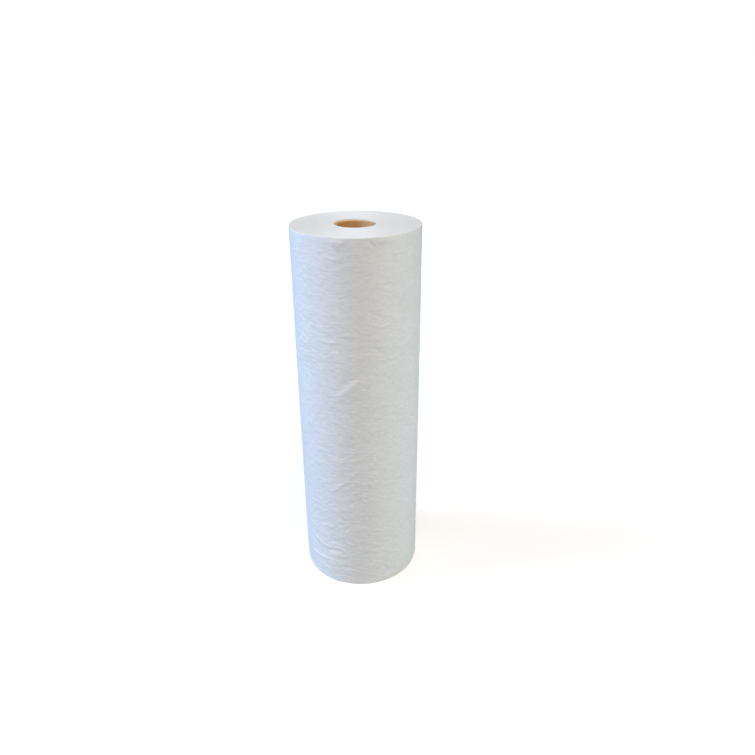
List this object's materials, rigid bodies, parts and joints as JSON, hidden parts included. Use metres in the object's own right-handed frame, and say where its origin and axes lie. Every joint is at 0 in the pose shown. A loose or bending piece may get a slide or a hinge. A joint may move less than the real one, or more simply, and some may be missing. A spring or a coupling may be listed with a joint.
{
  "type": "exam table paper roll",
  "caption": "Roll of smooth white paper wound on a hollow cardboard core, for covering an examination table, standing on its end.",
  "frame": {"origin": "centre of the lower end, on the axis of the core", "axes": "+Z along the core, upwards; +X and +Y across the roll, with the loose end of the paper on the +Y side, behind the roll as the picture shows it"},
  "size_m": [0.1001, 0.1004, 0.305],
  "materials": {
    "white_paper": "smooth white tissue-weight paper, matte with a faint satin sheen, fine tension wrinkles running round the roll",
    "kraft_board": "matte tan kraft chipboard, spiral wound"
  },
  "bodies": {
    "root": {"paper": "white_paper", "core": "kraft_board"}
  },
  "joints": []
}
